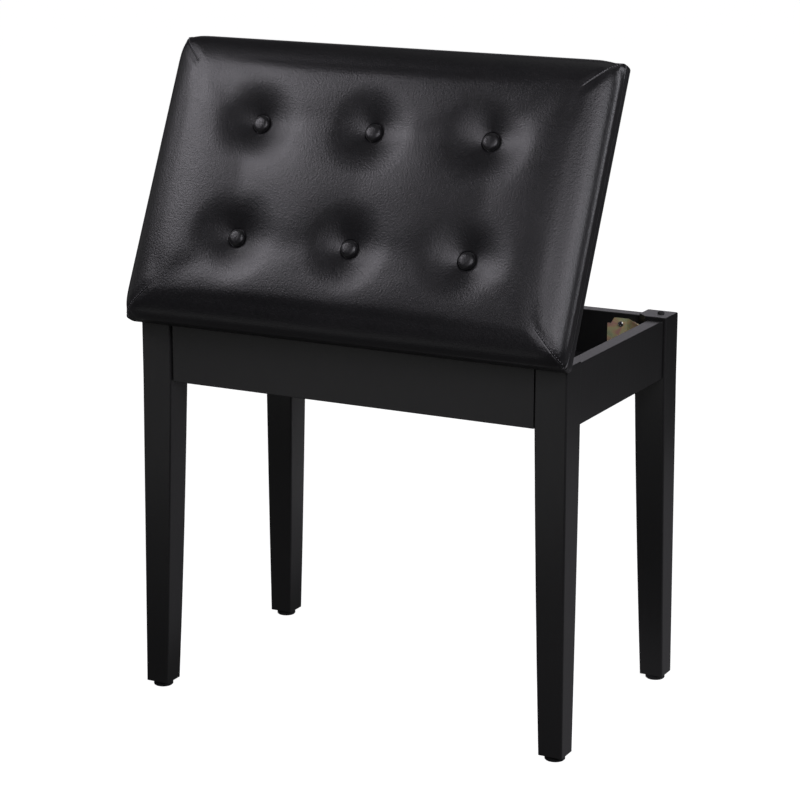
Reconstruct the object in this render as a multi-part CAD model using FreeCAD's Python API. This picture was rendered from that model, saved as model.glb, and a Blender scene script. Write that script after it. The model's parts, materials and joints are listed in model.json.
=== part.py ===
"""Piano bench with a padded, tufted lid that opens on a storage compartment. Millimetres.

The origin is on the floor under the middle of the leg frame. +Z is up, +X is to the right of a
viewer who faces the hinge side, and +Y points from the hinge side to the opening side. The lid
parts are drawn with the lid closed, and then turned about the hinge pin to the open rest pose.
"""

import FreeCAD
import Part
import math
import os

V = FreeCAD.Vector
X_AXIS = V(1, 0, 0)

# Leg frame
FRAME_WIDTH = 535.0
FRAME_DEPTH = 318.0
LEG_TOP = 448.0
LEG_SECTION = 38.0
LEG_EDGE_RADIUS = 2.0
LEG_TOP_EASE = 0.8
TAPER_START = 376.5
TAPER_LINEAR = 8.6
TAPER_CURVED = 3.2
FOOT_SPLAY = 2.5
LEG_CHAMFER = 12.0
LEG_CHAMFER_BOTTOM = 396.0
RAIL_TOP = 444.5
RAIL_BOTTOM = 376.0
RAIL_THICKNESS = 18.0
RAIL_SETBACK = 3.0
RAIL_EASE = 1.5
SHADOW_GAP = 2.0
SHADOW_GAP_DEPTH = 6.0
FLOOR_PANEL = 5.0
FLOOR_PANEL_BOTTOM = 388.0
GROOVE_DEPTH = 6.0

# Feet
PAD_HEIGHT = 7.0
PAD_RADIUS = 11.5
NAIL_RADIUS = 1.2
NAIL_LENGTH = 18.0

# Corner joint: diagonal steel bracket, hanger bolts into the leg
BRACKET_SHEET = 1.8
BRACKET_REACH = 54.0
BRACKET_WING = 24.6
BRACKET_TAB = 4.4
BRACKET_SHOULDER = 3.0
BRACKET_SCREW = 8.3
KERF_DEPTH = 4.8
KERF_CLEARANCE = 0.2
BRACKET_CENTRE = 420.75
BRACKET_HALF_HEIGHT = 18.0
TAB_HALF_HEIGHT = 10.75
BOLT_RADIUS = 3.0
SCREW_SPACING = 22.5
BOLT_IN_LEG = 20.0
NUT_ACROSS_FLATS = 10.0
NUT_THICKNESS = 5.0
WASHER_RADIUS = 7.0
WASHER_THICKNESS = 1.0

# Lid rests
BUMPER_RADIUS = 4.0
BUMPER_HEIGHT = 1.8
BUMPER_INSET = 15.5

# Lid
LID_WIDTH = 552.0
LID_DEPTH = 341.0
LID_BACK = -167.0
LID_UNDERSIDE = 450.0
LINING = 0.6
COVER = 1.0
BOARD = 12.0
LID_TOP = 491.0
LID_CORNER = 8.0
COVER_TURN_IN = 30.0
LINING_MARGIN = 14.0
OPEN_ANGLE = 64.5

# Tufting
TUFT_COLUMN = 143.5
TUFT_ROW = 67.0
TUFT_DEPTH = 11.5
TUFT_TOP_RADIUS = 26.0
BUTTON_RADIUS = 10.0
BUTTON_EDGE = 2.0
BUTTON_HEIGHT = 6.0
CORD_RADIUS = 0.8

# Butt hinges
PIN_Y = -162.5
PIN_Z = 447.0
PIN_RADIUS = 1.4
PIN_CLEARANCE = 0.05
KNUCKLE_RADIUS = 2.6
KNUCKLE_GAP = 0.3
HINGE_LENGTH = 60.0
HINGE_OFFSET = 165.0
LEAF = 1.5
LEAF_NEAR = -159.3
LEAF_FAR = -141.5
LEAF_SCREW_Y = -148.5
LEAF_SCREW_PITCH = 20.0

# Screws
SCREW_RADIUS = 1.5
SCREW_HEAD_RADIUS = 3.0
SCREW_HEAD = 1.5
SCREW_LENGTH = 12.0
PAN_HEAD = 2.0
PAN_HEAD_RADIUS = 3.4
SLOT_WIDTH = 0.8
SLOT_LENGTH = 3.6
SLOT_DEPTH = 0.9

# Parallel-arm lid stay on the left side
STAY_PIVOT_Y = -50.0
STAY_PIVOT_Z = 428.0
STAY_REACH = 110.0
STAY_LID_DROP = 11.5
STAY_PLATE = 2.0
ARM_HALF_WIDTH = 6.5
ARM_PLAY = 0.3
ARM_SPACE = 1.6
RIVET_RADIUS = 2.5
RIVET_HEAD_RADIUS = 4.0
RIVET_HEAD = 0.9
ELBOW_CLEARANCE = 0.25

# Staples
STAPLE_CROWN = 10.0
STAPLE_WIRE = 0.5
STAPLE_WIDTH = 1.0
STAPLE_LEG = 6.0

QUADRANTS = {
    "hinge_left": (-1, -1),
    "hinge_right": (1, -1),
    "open_left": (-1, 1),
    "open_right": (1, 1),
}


# General helpers


def box(x0, x1, y0, y1, z0, z1):
    """Box between two corners, in any order along each axis."""
    low = V(min(x0, x1), min(y0, y1), min(z0, z1))
    return Part.makeBox(abs(x1 - x0), abs(y1 - y0), abs(z1 - z0), low)


def rod(radius, start, end):
    """Cylinder from one point to another."""
    along = end - start
    return Part.makeCylinder(radius, along.Length, start, along)


def prism(points, along):
    """Polygon through the points, swept along a vector."""
    return Part.Face(Part.makePolygon(points + [points[0]])).extrude(along)


def join(shapes):
    """One solid from several that touch or overlap."""
    return shapes[0].multiFuse(shapes[1:]).removeSplitter()


def turned(shape, y, z, degrees):
    """Copy of the shape turned about an axis along X through y, z."""
    copy = shape.copy()
    copy.rotate(V(0, y, z), X_AXIS, degrees)
    return copy


def to_quadrant(shape, quadrant):
    """Mirror a shape that was drawn at the +X, +Y corner into another corner."""
    side_x, side_y = quadrant
    if side_x < 0:
        shape = shape.mirror(V(0, 0, 0), V(1, 0, 0))
    if side_y < 0:
        shape = shape.mirror(V(0, 0, 0), V(0, 1, 0))
    return shape


def corner_point(a, b, z):
    """Point at distances a and b inside the outer faces of the +X, +Y leg."""
    return V(FRAME_WIDTH / 2 - a, FRAME_DEPTH / 2 - b, z)


def diagonal_point(distance, z):
    """Point on the corner's diagonal, at a distance from the leg's outer corner."""
    return corner_point(distance / math.sqrt(2), distance / math.sqrt(2), z)


def rounded_loop(x0, x1, y0, y1, z, radius):
    """Closed wire of a rectangle with rounded corners."""
    corners = [(x1, y1, 0), (x0, y1, 90), (x0, y0, 180), (x1, y0, 270)]
    edges = []
    ends = []
    for x, y, start in corners:
        cx = x - math.copysign(radius, x - (x0 + x1) / 2)
        cy = y - math.copysign(radius, y - (y0 + y1) / 2)
        points = []
        for step in (0, 45, 90):
            angle = math.radians(start + step)
            points.append(V(cx + radius * math.cos(angle), cy + radius * math.sin(angle), z))
        edges.append(Part.Arc(*points).toShape())
        ends.append((points[0], points[2]))
    for i, (_, last) in enumerate(ends):
        edges.append(Part.makeLine(last, ends[(i + 1) % 4][0]))
    return Part.Wire(Part.__sortEdges__(edges))


def strip(points, thickness):
    """Outline of a bent sheet in plan, from its centreline."""
    sides = {1: [], -1: []}
    for i, point in enumerate(points):
        before = (point - points[i - 1]).normalize() if i else None
        after = (points[i + 1] - point).normalize() if i + 1 < len(points) else None
        first = before or after
        second = after or before
        normal = V(-first.y - second.y, first.x + second.x, 0).normalize()
        reach = thickness / 2 / (normal.x * -first.y + normal.y * first.x)
        for side in sides:
            sides[side].append(point + normal * (reach * side))
    return sides[1] + sides[-1][::-1]


def cross_recess(body, top, along):
    """Cuts a crossed recess into a screw head, from the middle of its top."""
    across = V(0, 1, 0) if abs(along.y) < 0.5 else V(1, 0, 0)
    for side in (across, along.cross(across)):
        edge = side * (SLOT_LENGTH / 2) + along.cross(side) * (SLOT_WIDTH / 2)
        other = side * (SLOT_LENGTH / 2) - along.cross(side) * (SLOT_WIDTH / 2)
        slot = [top + edge, top + other, top - edge, top - other]
        body = body.cut(prism(slot, along * SLOT_DEPTH))
    return body


def screw(head_centre, inward):
    """Countersunk wood screw: flush head, crossed recess, plain shank."""
    along = V(*inward).normalize()
    neck = head_centre + along * SCREW_HEAD
    head = Part.makeCone(SCREW_HEAD_RADIUS, SCREW_RADIUS, SCREW_HEAD, head_centre, along)
    body = join([head, rod(SCREW_RADIUS, neck, head_centre + along * SCREW_LENGTH)])
    return cross_recess(body, head_centre, along)


def pan_screw(seat, along):
    """Screw with a raised, rounded head that bears on a surface."""
    top = seat - along * PAN_HEAD
    head = Part.makeCylinder(PAN_HEAD_RADIUS, PAN_HEAD, top, along)
    rim = [edge for edge in head.Edges if edge.CenterOfMass.distanceToPoint(top) < 0.01]
    head = head.makeFillet(PAN_HEAD * 0.6, rim)
    body = join([head, rod(SCREW_RADIUS, seat, seat + along * (SCREW_LENGTH - BRACKET_SHEET))])
    return cross_recess(body, top, along)


def screw_seat(head_centre, inward):
    """Countersink and hole that a screw exactly fills."""
    along = V(*inward).normalize()
    neck = head_centre + along * SCREW_HEAD
    head = Part.makeCone(SCREW_HEAD_RADIUS, SCREW_RADIUS, SCREW_HEAD, head_centre, along)
    return join([head, rod(SCREW_RADIUS, neck, head_centre + along * SCREW_LENGTH)])


# Leg frame


def leg_section(z, inset):
    """Rounded square section of the +X, +Y leg at a height."""
    share = max(0.0, (TAPER_START - z) / TAPER_START)
    taper = TAPER_LINEAR * share + TAPER_CURVED * share * share
    splay = FOOT_SPLAY * share
    outer = corner_point(inset - splay, inset - splay, z)
    inner = corner_point(LEG_SECTION - taper - inset, LEG_SECTION - taper - inset, z)
    return rounded_loop(inner.x, outer.x, inner.y, outer.y, z, LEG_EDGE_RADIUS)


def foot_centre():
    """Distance of the foot's middle from the leg's outer faces at the top."""
    share = (TAPER_START - PAD_HEIGHT) / TAPER_START
    taper = TAPER_LINEAR * share + TAPER_CURVED * share * share
    return (LEG_SECTION - taper - FOOT_SPLAY * share) / 2


def bracket_screw_spots():
    """Distance from the leg's outer face and height of each screw of a bracket's wing."""
    along = BRACKET_REACH + BRACKET_SCREW
    return [(along, BRACKET_CENTRE + side * SCREW_SPACING / 2) for side in (-1, 1)]


def chamfer_distance():
    """Distance of the leg's chamfered inner face from its outer corner, on the diagonal."""
    return (2 * LEG_SECTION - LEG_CHAMFER) / math.sqrt(2)


def bracket_distance():
    """Distance of the bracket's mid-plane from the leg's outer corner, on the diagonal."""
    rail_inner = RAIL_SETBACK + RAIL_THICKNESS
    return (BRACKET_REACH + rail_inner + BRACKET_SHEET / 2) / math.sqrt(2)


def make_leg():
    """Tapered square leg with a flat for the corner bolts."""
    heights = [TAPER_START * (1 - step / 4) + PAD_HEIGHT * step / 4 for step in range(5)]
    lower = Part.makeLoft([leg_section(z, 0) for z in heights], True, False)
    shoulder = LEG_TOP - LEG_TOP_EASE
    block = Part.makeLoft([leg_section(TAPER_START, 0), leg_section(shoulder, 0)], True, True)
    top = [leg_section(shoulder, 0), leg_section(LEG_TOP, LEG_TOP_EASE)]
    leg = join([lower, block, Part.makeLoft(top, True, True)])
    flat = [
        corner_point(LEG_SECTION - LEG_CHAMFER, LEG_SECTION, LEG_CHAMFER_BOTTOM),
        corner_point(LEG_SECTION, LEG_SECTION - LEG_CHAMFER, LEG_CHAMFER_BOTTOM),
        corner_point(LEG_SECTION + 1, LEG_SECTION + 1, LEG_CHAMFER_BOTTOM),
    ]
    leg = leg.cut(prism(flat, V(0, 0, LEG_TOP)))
    start = diagonal_point(chamfer_distance() - BOLT_IN_LEG, BRACKET_CENTRE)
    leg = leg.cut(rod(BOLT_RADIUS, start, diagonal_point(bracket_distance(), BRACKET_CENTRE)))
    leg = leg.cut(bumper_peg())
    middle = foot_centre()
    nail = rod(NAIL_RADIUS, corner_point(middle, middle, 0), corner_point(middle, middle, NAIL_LENGTH))
    return leg.cut(nail)


def bumper_peg():
    """Peg of a lid bumper, which fills a hole in the leg's top."""
    top = corner_point(BUMPER_INSET, BUMPER_INSET, LEG_TOP)
    return rod(SCREW_RADIUS, top - V(0, 0, 2 * BUMPER_RADIUS), top)


def make_bumper():
    """Rubber button that the closed lid rests on."""
    base = corner_point(BUMPER_INSET, BUMPER_INSET, LEG_TOP)
    disc = Part.makeCylinder(BUMPER_RADIUS, BUMPER_HEIGHT, base)
    disc = disc.makeFillet(BUMPER_HEIGHT / 3, [disc.Edges[0]])
    return join([disc, bumper_peg()])


def make_pad():
    """Round foot pad with a recess for its nail."""
    middle = foot_centre()
    base = corner_point(middle, middle, 0)
    ease = 1.0
    bottom = Part.makeCone(PAD_RADIUS - ease, PAD_RADIUS, ease, base)
    body = Part.makeCylinder(PAD_RADIUS, PAD_HEIGHT - ease, base + V(0, 0, ease))
    recess = Part.makeCylinder(3 * NAIL_RADIUS, PAD_HEIGHT / 3, base)
    hole = Part.makeCylinder(NAIL_RADIUS, PAD_HEIGHT, base)
    return join([bottom, body]).cut(recess).cut(hole)


def make_nail():
    """Nail that holds a foot pad."""
    middle = foot_centre()
    base = corner_point(middle, middle, 0)
    seat = PAD_HEIGHT / 3
    head = Part.makeCylinder(2.8 * NAIL_RADIUS, seat / 2, base + V(0, 0, seat / 2))
    return join([head, rod(NAIL_RADIUS, base + V(0, 0, seat), base + V(0, 0, NAIL_LENGTH))])


def rail_profile():
    """Section of a rail: u runs from the outer face inwards, v is the height."""
    t = RAIL_THICKNESS
    groove_low = FLOOR_PANEL_BOTTOM
    groove_high = FLOOR_PANEL_BOTTOM + FLOOR_PANEL
    e = RAIL_EASE
    return [
        (0, RAIL_BOTTOM + e / 2), (e / 2, RAIL_BOTTOM), (t - e / 2, RAIL_BOTTOM), (t, RAIL_BOTTOM + e / 2),
        (t, groove_low), (t - GROOVE_DEPTH, groove_low), (t - GROOVE_DEPTH, groove_high), (t, groove_high),
        (t, RAIL_TOP - e / 2), (t - e / 2, RAIL_TOP),
    ]


def make_rail(along_x):
    """Rail on the +Y side, along X, or on the +X side, along Y."""
    leg_inner = LEG_SECTION
    half = (FRAME_WIDTH if along_x else FRAME_DEPTH) / 2 - leg_inner

    def place(u, v, w):
        """u inwards from the outer face, v up, w along the rail."""
        if along_x:
            return V(w, FRAME_DEPTH / 2 - RAIL_SETBACK - u, v)
        return V(FRAME_WIDTH / 2 - RAIL_SETBACK - u, w, v)

    points = [place(u, v, -half) for u, v in rail_profile()]
    edges = [Part.makeLine(a, b) for a, b in zip(points, points[1:])]
    bend = RAIL_EASE * (1 - math.sqrt(0.5))
    crown_start = place(RAIL_EASE, RAIL_TOP, -half)
    crown_middle = place(bend, RAIL_TOP - bend, -half)
    crown_end = place(0, RAIL_TOP - RAIL_EASE, -half)
    edges.append(Part.makeLine(points[-1], crown_start))
    edges.append(Part.Arc(crown_start, crown_middle, crown_end).toShape())
    edges.append(Part.makeLine(crown_end, points[0]))
    rail = Part.Face(Part.Wire(edges)).extrude(place(0, 0, half) - place(0, 0, -half))
    for end in (-1, 1):
        corner = place(-1, RAIL_BOTTOM - 1, end * (half + 1))
        inside = place(SHADOW_GAP_DEPTH, RAIL_TOP + 1, end * (half - SHADOW_GAP))
        rail = rail.cut(box(corner.x, inside.x, corner.y, inside.y, corner.z, inside.z))
        kerf_middle = half + leg_inner - BRACKET_REACH - BRACKET_WING
        slot_half = BRACKET_SHEET / 2 + KERF_CLEARANCE
        low = BRACKET_CENTRE - TAB_HALF_HEIGHT - KERF_CLEARANCE
        high = BRACKET_CENTRE + TAB_HALF_HEIGHT + KERF_CLEARANCE
        mouth = place(RAIL_THICKNESS + 1, low, end * (kerf_middle - slot_half))
        back = place(RAIL_THICKNESS - KERF_DEPTH - KERF_CLEARANCE, high, end * (kerf_middle + slot_half))
        rail = rail.cut(box(mouth.x, back.x, mouth.y, back.y, mouth.z, back.z))
        for along, z in bracket_screw_spots():
            spot = end * (half + leg_inner - along)
            tip = place(RAIL_THICKNESS + BRACKET_SHEET - SCREW_LENGTH, z, spot)
            rail = rail.cut(rod(SCREW_RADIUS, tip, place(RAIL_THICKNESS + 1, z, spot)))
    return rail


def make_floor_panel():
    """Bottom of the storage compartment, held in the rails' grooves and notched for the legs."""
    play = 0.5
    reach = RAIL_SETBACK + RAIL_THICKNESS - GROOVE_DEPTH + play
    outer = corner_point(reach, reach, FLOOR_PANEL_BOTTOM)
    top = FLOOR_PANEL_BOTTOM + FLOOR_PANEL
    panel = box(-outer.x, outer.x, -outer.y, outer.y, FLOOR_PANEL_BOTTOM, top)
    notch_from = corner_point(LEG_SECTION + play, LEG_SECTION + play, FLOOR_PANEL_BOTTOM - 1)
    far = corner_point(0, 0, top + 1)
    notch = box(notch_from.x, far.x, notch_from.y, far.y, notch_from.z, far.z)
    for quadrant in QUADRANTS.values():
        panel = panel.cut(to_quadrant(notch, quadrant))
    return panel


def make_bracket():
    """Diagonal corner bracket with wings on the rails and flanges in their saw kerfs."""
    face = RAIL_SETBACK + RAIL_THICKNESS
    wing = face + BRACKET_SHEET / 2
    end = BRACKET_REACH + BRACKET_WING
    half_line = [(end, face - KERF_DEPTH), (end, wing), (BRACKET_REACH, wing)]
    line = half_line + [(b, a) for a, b in reversed(half_line)]
    low = BRACKET_CENTRE - BRACKET_HALF_HEIGHT
    outline = strip([corner_point(a, b, low) for a, b in line], BRACKET_SHEET)
    sheet = prism(outline, V(0, 0, 2 * BRACKET_HALF_HEIGHT))
    neck = (end - BRACKET_TAB - wing) / math.sqrt(2)
    shape = [
        (2 * neck, TAB_HALF_HEIGHT), (neck, TAB_HALF_HEIGHT),
        (neck - BRACKET_SHOULDER, BRACKET_HALF_HEIGHT), (BRACKET_SHOULDER - neck, BRACKET_HALF_HEIGHT),
        (-neck, TAB_HALF_HEIGHT), (-2 * neck, TAB_HALF_HEIGHT),
    ]
    shape += [(w, -h) for w, h in reversed(shape)]
    inward = V(-1, -1, 0).normalize()
    sideways = V(1, -1, 0).normalize()
    centre = diagonal_point(0, BRACKET_CENTRE)
    window = prism([centre + sideways * w + V(0, 0, h) for w, h in shape], inward * (end + face))
    bracket = sheet.common(window)
    hole = rod(BOLT_RADIUS + 0.25, centre, diagonal_point(end, BRACKET_CENTRE))
    bracket = bracket.cut(hole)
    for along, z in bracket_screw_spots():
        bracket = bracket.cut(rod(SCREW_RADIUS, corner_point(along, 0, z), corner_point(along, end, z)))
        bracket = bracket.cut(rod(SCREW_RADIUS, corner_point(0, along, z), corner_point(end, along, z)))
    return bracket


def make_bracket_screws():
    """Pan-head screws of a bracket's two wings."""
    seat = RAIL_SETBACK + RAIL_THICKNESS + BRACKET_SHEET
    screws = []
    for along, z in bracket_screw_spots():
        screws.append(pan_screw(corner_point(along, seat, z), V(0, 1, 0)))
        screws.append(pan_screw(corner_point(seat, along, z), V(1, 0, 0)))
    return screws


def bolt_stack():
    """Distances along the diagonal of the bracket's inner face, the washer's and the nut's."""
    plate = bracket_distance() + BRACKET_SHEET / 2
    washer = plate + WASHER_THICKNESS
    return plate, washer, washer + NUT_THICKNESS


def make_bolt():
    """Hanger bolt, screwed into the leg and through the bracket."""
    start = diagonal_point(chamfer_distance() - BOLT_IN_LEG, BRACKET_CENTRE)
    return rod(BOLT_RADIUS, start, diagonal_point(bolt_stack()[2] + 2, BRACKET_CENTRE))


def make_washer():
    """Plain washer under a nut."""
    plate, washer, _ = bolt_stack()
    z = BRACKET_CENTRE
    ring = rod(WASHER_RADIUS, diagonal_point(plate, z), diagonal_point(washer, z))
    return ring.cut(rod(BOLT_RADIUS + 0.2, diagonal_point(plate - 1, z), diagonal_point(washer + 1, z)))


def make_nut():
    """Hexagon nut on a hanger bolt."""
    _, washer, nut = bolt_stack()
    z = BRACKET_CENTRE
    sideways = V(1, -1, 0).normalize()
    radius = NUT_ACROSS_FLATS / math.sqrt(3)
    centre = diagonal_point(washer, z)
    corners = []
    for step in range(6):
        angle = math.radians(60 * step)
        corners.append(centre + sideways * (radius * math.cos(angle)) + V(0, 0, radius * math.sin(angle)))
    body = prism(corners, diagonal_point(nut, z) - centre)
    return body.cut(rod(BOLT_RADIUS + 0.05, diagonal_point(washer - 1, z), diagonal_point(nut + 1, z)))


# Butt hinges


def hinge_spans(centre):
    """X ranges of the rail leaf's two knuckles and the lid leaf's one."""
    half = HINGE_LENGTH / 2
    third = HINGE_LENGTH / 6
    outer = [(centre - half, centre - third), (centre + third, centre + half)]
    return outer, [(centre - third + KNUCKLE_GAP, centre + third - KNUCKLE_GAP)]


def hinge_screw_points(centre, z):
    """Head centres of a leaf's three screws."""
    return [V(centre + step * LEAF_SCREW_PITCH, LEAF_SCREW_Y, z) for step in (-1, 0, 1)]


def make_leaf(centre, spans, low, bore, screw_z, inward):
    """Leaf with its knuckles. low is the underside of the flat."""
    half = HINGE_LENGTH / 2
    flat = box(centre - half, centre + half, LEAF_NEAR, LEAF_FAR, low, low + LEAF)
    parts = [flat]
    for x0, x1 in spans:
        parts.append(box(x0, x1, PIN_Y, LEAF_NEAR, low, low + LEAF))
        parts.append(rod(KNUCKLE_RADIUS, V(x0, PIN_Y, PIN_Z), V(x1, PIN_Y, PIN_Z)))
    leaf = join(parts)
    leaf = leaf.cut(rod(bore, V(centre - half - 1, PIN_Y, PIN_Z), V(centre + half + 1, PIN_Y, PIN_Z)))
    for point in hinge_screw_points(centre, screw_z):
        leaf = leaf.cut(screw_seat(point, inward))
    return leaf


def make_pin(centre):
    """Hinge pin with a small head at each end."""
    half = HINGE_LENGTH / 2
    head = 0.8
    parts = [rod(PIN_RADIUS, V(centre - half, PIN_Y, PIN_Z), V(centre + half, PIN_Y, PIN_Z))]
    for side in (-1, 1):
        start = V(centre + side * half, PIN_Y, PIN_Z)
        parts.append(rod(PIN_RADIUS + 0.6, start, start + V(side * head, 0, 0)))
    return join(parts)


# Lid


def tuft_points():
    """Middle of each tuft in plan."""
    middle = LID_BACK + LID_DEPTH / 2
    columns = (-TUFT_COLUMN, 0, TUFT_COLUMN)
    return [(x, middle + row * TUFT_ROW) for row in (1, -1) for x in columns]


def lid_block(inset, bottom, top):
    """Cushion's rounded block, smaller by the inset on each side."""
    x = LID_WIDTH / 2 - inset
    y0 = LID_BACK + inset
    y1 = LID_BACK + LID_DEPTH - inset
    radius = LID_CORNER - inset
    block = Part.Face(rounded_loop(-x, x, y0, y1, bottom, radius)).extrude(V(0, 0, top - bottom))
    edges = [e for e in block.Edges if min(v.Z for v in e.Vertexes) > top - 0.01]
    return block.makeFillet(radius - 1, edges)


def tufts(top):
    """Conical hollows that the buttons pull into the cushion."""
    return [
        Part.makeCone(BUTTON_RADIUS + 0.5, TUFT_TOP_RADIUS, TUFT_DEPTH, V(x, y, top - TUFT_DEPTH))
        for x, y in tuft_points()
    ]


def cord_holes(radius, bottom, top):
    """Straight holes for the tuft cords."""
    return [rod(radius, V(x, y, bottom), V(x, y, top)) for x, y in tuft_points()]


def board_bottom():
    return LID_UNDERSIDE + LINING + COVER


def make_cover():
    """Leather cover: top, sides and a border turned in under the board."""
    bottom = LID_UNDERSIDE + LINING
    outer = lid_block(0, bottom, LID_TOP)
    inner = lid_block(COVER, board_bottom(), LID_TOP - COVER)
    for dent in tufts(LID_TOP):
        outer = outer.cut(dent)
    for dent in tufts(LID_TOP - COVER):
        inner = inner.cut(dent)
    x = LID_WIDTH / 2 - COVER_TURN_IN
    y0 = LID_BACK + COVER_TURN_IN
    y1 = LID_BACK + LID_DEPTH - COVER_TURN_IN
    window = box(-x, x, y0, y1, bottom - 1, board_bottom() + 1)
    cover = outer.cut(inner).cut(window)
    for hole in cord_holes(CORD_RADIUS, board_bottom(), LID_TOP):
        cover = cover.cut(hole)
    return cover


def make_foam():
    """Foam slab between the board and the cover."""
    foam = lid_block(COVER, board_bottom(), LID_TOP - COVER)
    far = LID_WIDTH
    foam = foam.cut(box(-far, far, -far, far, board_bottom() - 1, board_bottom() + BOARD))
    for dent in tufts(LID_TOP - COVER):
        foam = foam.cut(dent)
    for hole in cord_holes(CORD_RADIUS, board_bottom(), LID_TOP):
        foam = foam.cut(hole)
    return foam


def make_board():
    """Plywood lid board with the cords' holes."""
    x = LID_WIDTH / 2 - COVER
    y0 = LID_BACK + COVER
    y1 = LID_BACK + LID_DEPTH - COVER
    loop = rounded_loop(-x, x, y0, y1, board_bottom(), LID_CORNER - COVER)
    board = Part.Face(loop).extrude(V(0, 0, BOARD))
    for hole in cord_holes(2 * CORD_RADIUS, board_bottom() - 1, board_bottom() + BOARD + 1):
        board = board.cut(hole)
    return board


def make_lining():
    """Dust cover under the lid board."""
    x = LID_WIDTH / 2 - LINING_MARGIN
    y0 = LID_BACK + LINING_MARGIN
    y1 = LID_BACK + LID_DEPTH - LINING_MARGIN
    return box(-x, x, y0, y1, LID_UNDERSIDE, LID_UNDERSIDE + LINING)


def make_button(x, y):
    """Domed upholstery button."""
    base = V(x, y, LID_TOP - TUFT_DEPTH)
    dome = BUTTON_HEIGHT - BUTTON_EDGE
    sphere_radius = (BUTTON_RADIUS ** 2 + dome ** 2) / (2 * dome)
    sphere = Part.makeSphere(sphere_radius, base + V(0, 0, BUTTON_HEIGHT - sphere_radius))
    return Part.makeCylinder(BUTTON_RADIUS, BUTTON_HEIGHT, base).common(sphere)


def make_cord(x, y):
    """Cord from a button to its anchor under the board."""
    return rod(CORD_RADIUS, V(x, y, board_bottom()), V(x, y, LID_TOP - TUFT_DEPTH))


def make_anchor(x, y):
    """Disc that a tuft cord is tied to."""
    return rod(5 * CORD_RADIUS, V(x, y, LID_UNDERSIDE + LINING), V(x, y, board_bottom()))


def staple(x, y, z, along_x):
    """Staple driven upwards, its crown's underside at z less the wire."""
    half = STAPLE_CROWN / 2
    wide = STAPLE_WIDTH / 2
    parts = [(-half, half, z - STAPLE_WIRE, z)]
    parts.append((-half, -half + STAPLE_WIRE, z, z + STAPLE_LEG))
    parts.append((half - STAPLE_WIRE, half, z, z + STAPLE_LEG))
    made = []
    for w0, w1, z0, z1 in parts:
        if along_x:
            made.append(box(x + w0, x + w1, y - wide, y + wide, z0, z1))
        else:
            made.append(box(x - wide, x + wide, y + w0, y + w1, z0, z1))
    return join(made)


def make_staples(margin, z, across, down):
    """Staples round the underside, evenly spaced along each edge."""
    x = LID_WIDTH / 2 - margin
    y0 = LID_BACK + margin
    y1 = LID_BACK + LID_DEPTH - margin
    made = []
    for i in range(across):
        at = x * (2 * (i + 0.5) / across - 1)
        made += [staple(at, y0, z, True), staple(at, y1, z, True)]
    for i in range(down):
        at = y0 + (y1 - y0) * (i + 0.5) / down
        made += [staple(-x, at, z, False), staple(x, at, z, False)]
    return Part.makeCompound(made)


# Lid stay: two equal pairs of pivots make a parallelogram with the hinge pin


def stay_planes():
    """X ranges of the base plate, lower arm, upper arm and lid bracket."""
    rail_face = -(FRAME_WIDTH / 2 - RAIL_SETBACK - RAIL_THICKNESS)
    base = (rail_face, rail_face + STAY_PLATE)
    lower = (base[1] + ARM_PLAY, base[1] + ARM_PLAY + STAY_PLATE)
    upper = (lower[1] + ARM_SPACE, lower[1] + ARM_SPACE + STAY_PLATE)
    ear = (upper[1] + ARM_PLAY, upper[1] + ARM_PLAY + STAY_PLATE)
    return base, lower, upper, ear


def stay_pivots():
    """Frame pivot, elbow and lid pivot with the lid closed, as (y, z)."""
    frame_pivot = (STAY_PIVOT_Y, STAY_PIVOT_Z)
    lid_pivot = (PIN_Y + STAY_REACH, LID_UNDERSIDE - STAY_LID_DROP)
    elbow = (
        frame_pivot[0] + lid_pivot[0] - PIN_Y,
        frame_pivot[1] + lid_pivot[1] - PIN_Z,
    )
    return frame_pivot, elbow, lid_pivot


def make_arm(plane, start, end, start_hole, end_hole):
    """Flat arm with rounded ends and a hole at each."""
    x0, x1 = plane
    along = V(0, end[0] - start[0], end[1] - start[1])
    side = V(0, -along.z, along.y).normalize() * ARM_HALF_WIDTH
    a = V(x0, *start)
    b = V(x0, *end)
    body = [prism([a + side, b + side, b - side, a - side], V(x1 - x0, 0, 0))]
    for point in (a, b):
        body.append(Part.makeCylinder(ARM_HALF_WIDTH, x1 - x0, point, X_AXIS))
    arm = join(body)
    for point, radius in ((a, start_hole), (b, end_hole)):
        arm = arm.cut(Part.makeCylinder(radius, x1 - x0, point, X_AXIS))
    return arm


def make_rivet(pivot, x0, x1, heads):
    """Rivet along X from x0 to x1, with a head over each (start, end) range."""
    parts = [rod(RIVET_RADIUS, V(x0, *pivot), V(x1, *pivot))]
    for h0, h1 in heads:
        parts.append(rod(RIVET_HEAD_RADIUS, V(h0, *pivot), V(h1, *pivot)))
    return join(parts)


def stay_base_screw_points():
    """Head centres of the base plate's screws, on its inner face."""
    x = stay_planes()[0][1]
    return [V(x, STAY_PIVOT_Y + side * 12, STAY_PIVOT_Z - 15) for side in (-1, 1)]


def make_stay_base():
    """Plate on the left rail that carries the frame pivot."""
    (x0, x1), _, _, _ = stay_planes()
    y, z = STAY_PIVOT_Y, STAY_PIVOT_Z
    outline = [(-18, -22), (18, -22), (18, -9), (8, 8), (-8, 8), (-18, -9)]
    plate = prism([V(x0, y + dy, z + dz) for dy, dz in outline], V(x1 - x0, 0, 0))
    plate = plate.cut(rod(RIVET_RADIUS, V(x0 - 1, y, z), V(x1 + 1, y, z)))
    for point in stay_base_screw_points():
        plate = plate.cut(screw_seat(point, (-1, 0, 0)))
    return plate


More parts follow.
